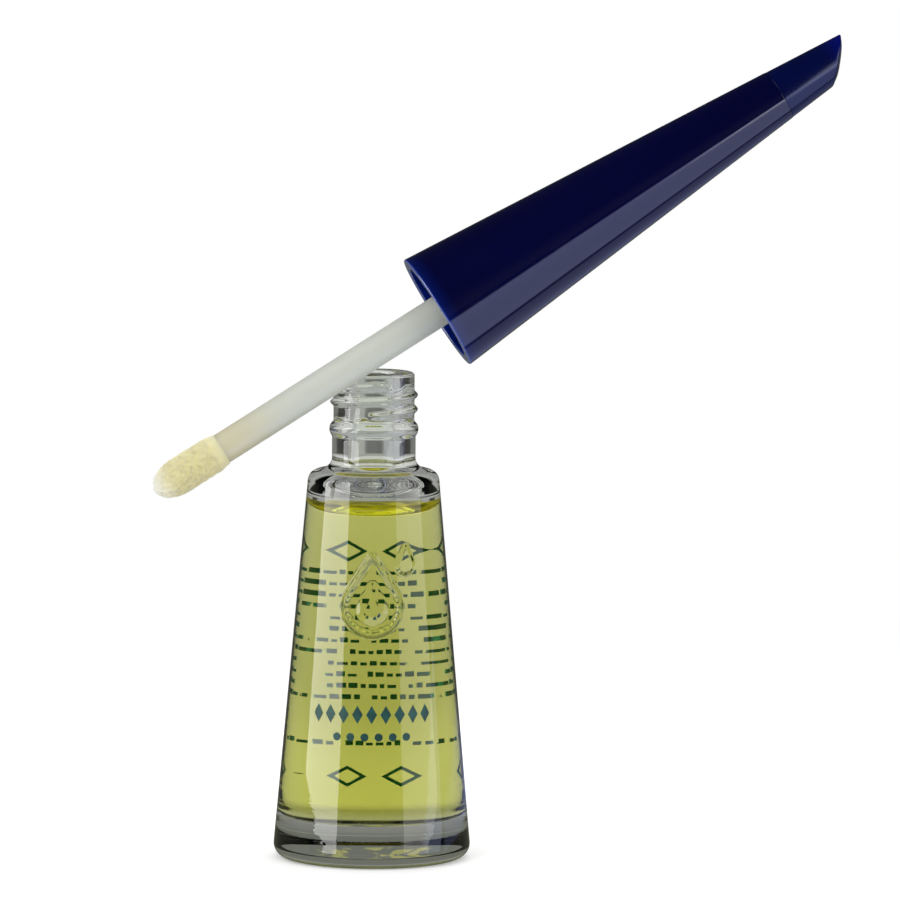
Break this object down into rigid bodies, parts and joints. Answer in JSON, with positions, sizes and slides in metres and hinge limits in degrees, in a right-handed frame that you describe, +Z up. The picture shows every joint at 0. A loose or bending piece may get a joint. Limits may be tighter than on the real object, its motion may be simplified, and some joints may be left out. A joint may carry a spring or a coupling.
{
  "type": "nail oil bottle with applicator cap",
  "caption": "Small clear glass cone bottle of nail oil, its long navy cone cap off to one side with a flocked wand and a slanted nail pusher tip.",
  "frame": {"origin": "centre of the bottle's flat foot, on the surface that it stands on", "axes": "+Z up along the bottle's axis; the cap leans over towards +X and its wand passes in front of the neck on the -Y side"},
  "size_m": [0.1019, 0.0315, 0.1228],
  "materials": {
    "clear_glass": "polished",
    "oil": "gloss",
    "navy_gloss": "gloss",
    "navy_satin": "satin",
    "washer_foam": "matte",
    "frosted_plastic": "satin",
    "nib_plastic": "matte",
    "flock": "matte"
  },
  "bodies": {
    "bottle": {"glass_bottle": "clear_glass", "oil_fill": "oil"},
    "washer": {"seal_washer": "washer_foam"},
    "cap": {"cap_shell": "navy_gloss", "pusher_tip": "navy_satin", "wand_stem": "frosted_plastic", "applicator_nib": "nib_plastic", "flock_sleeve": "flock"}
  },
  "joints": [
    {"name": "cap_draw", "type": "slide", "parent": "bottle", "child": "washer", "axis": [0.8381, 0.1297, 0.5299], "range_m": [0, 0.0634]},
    {"name": "cap_turn", "type": "hinge", "parent": "washer", "child": "cap", "pos_m": [0.00922, -0.00798, 0.08208], "axis": [0.8381, 0.1297, 0.5299], "continuous": true}
  ]
}
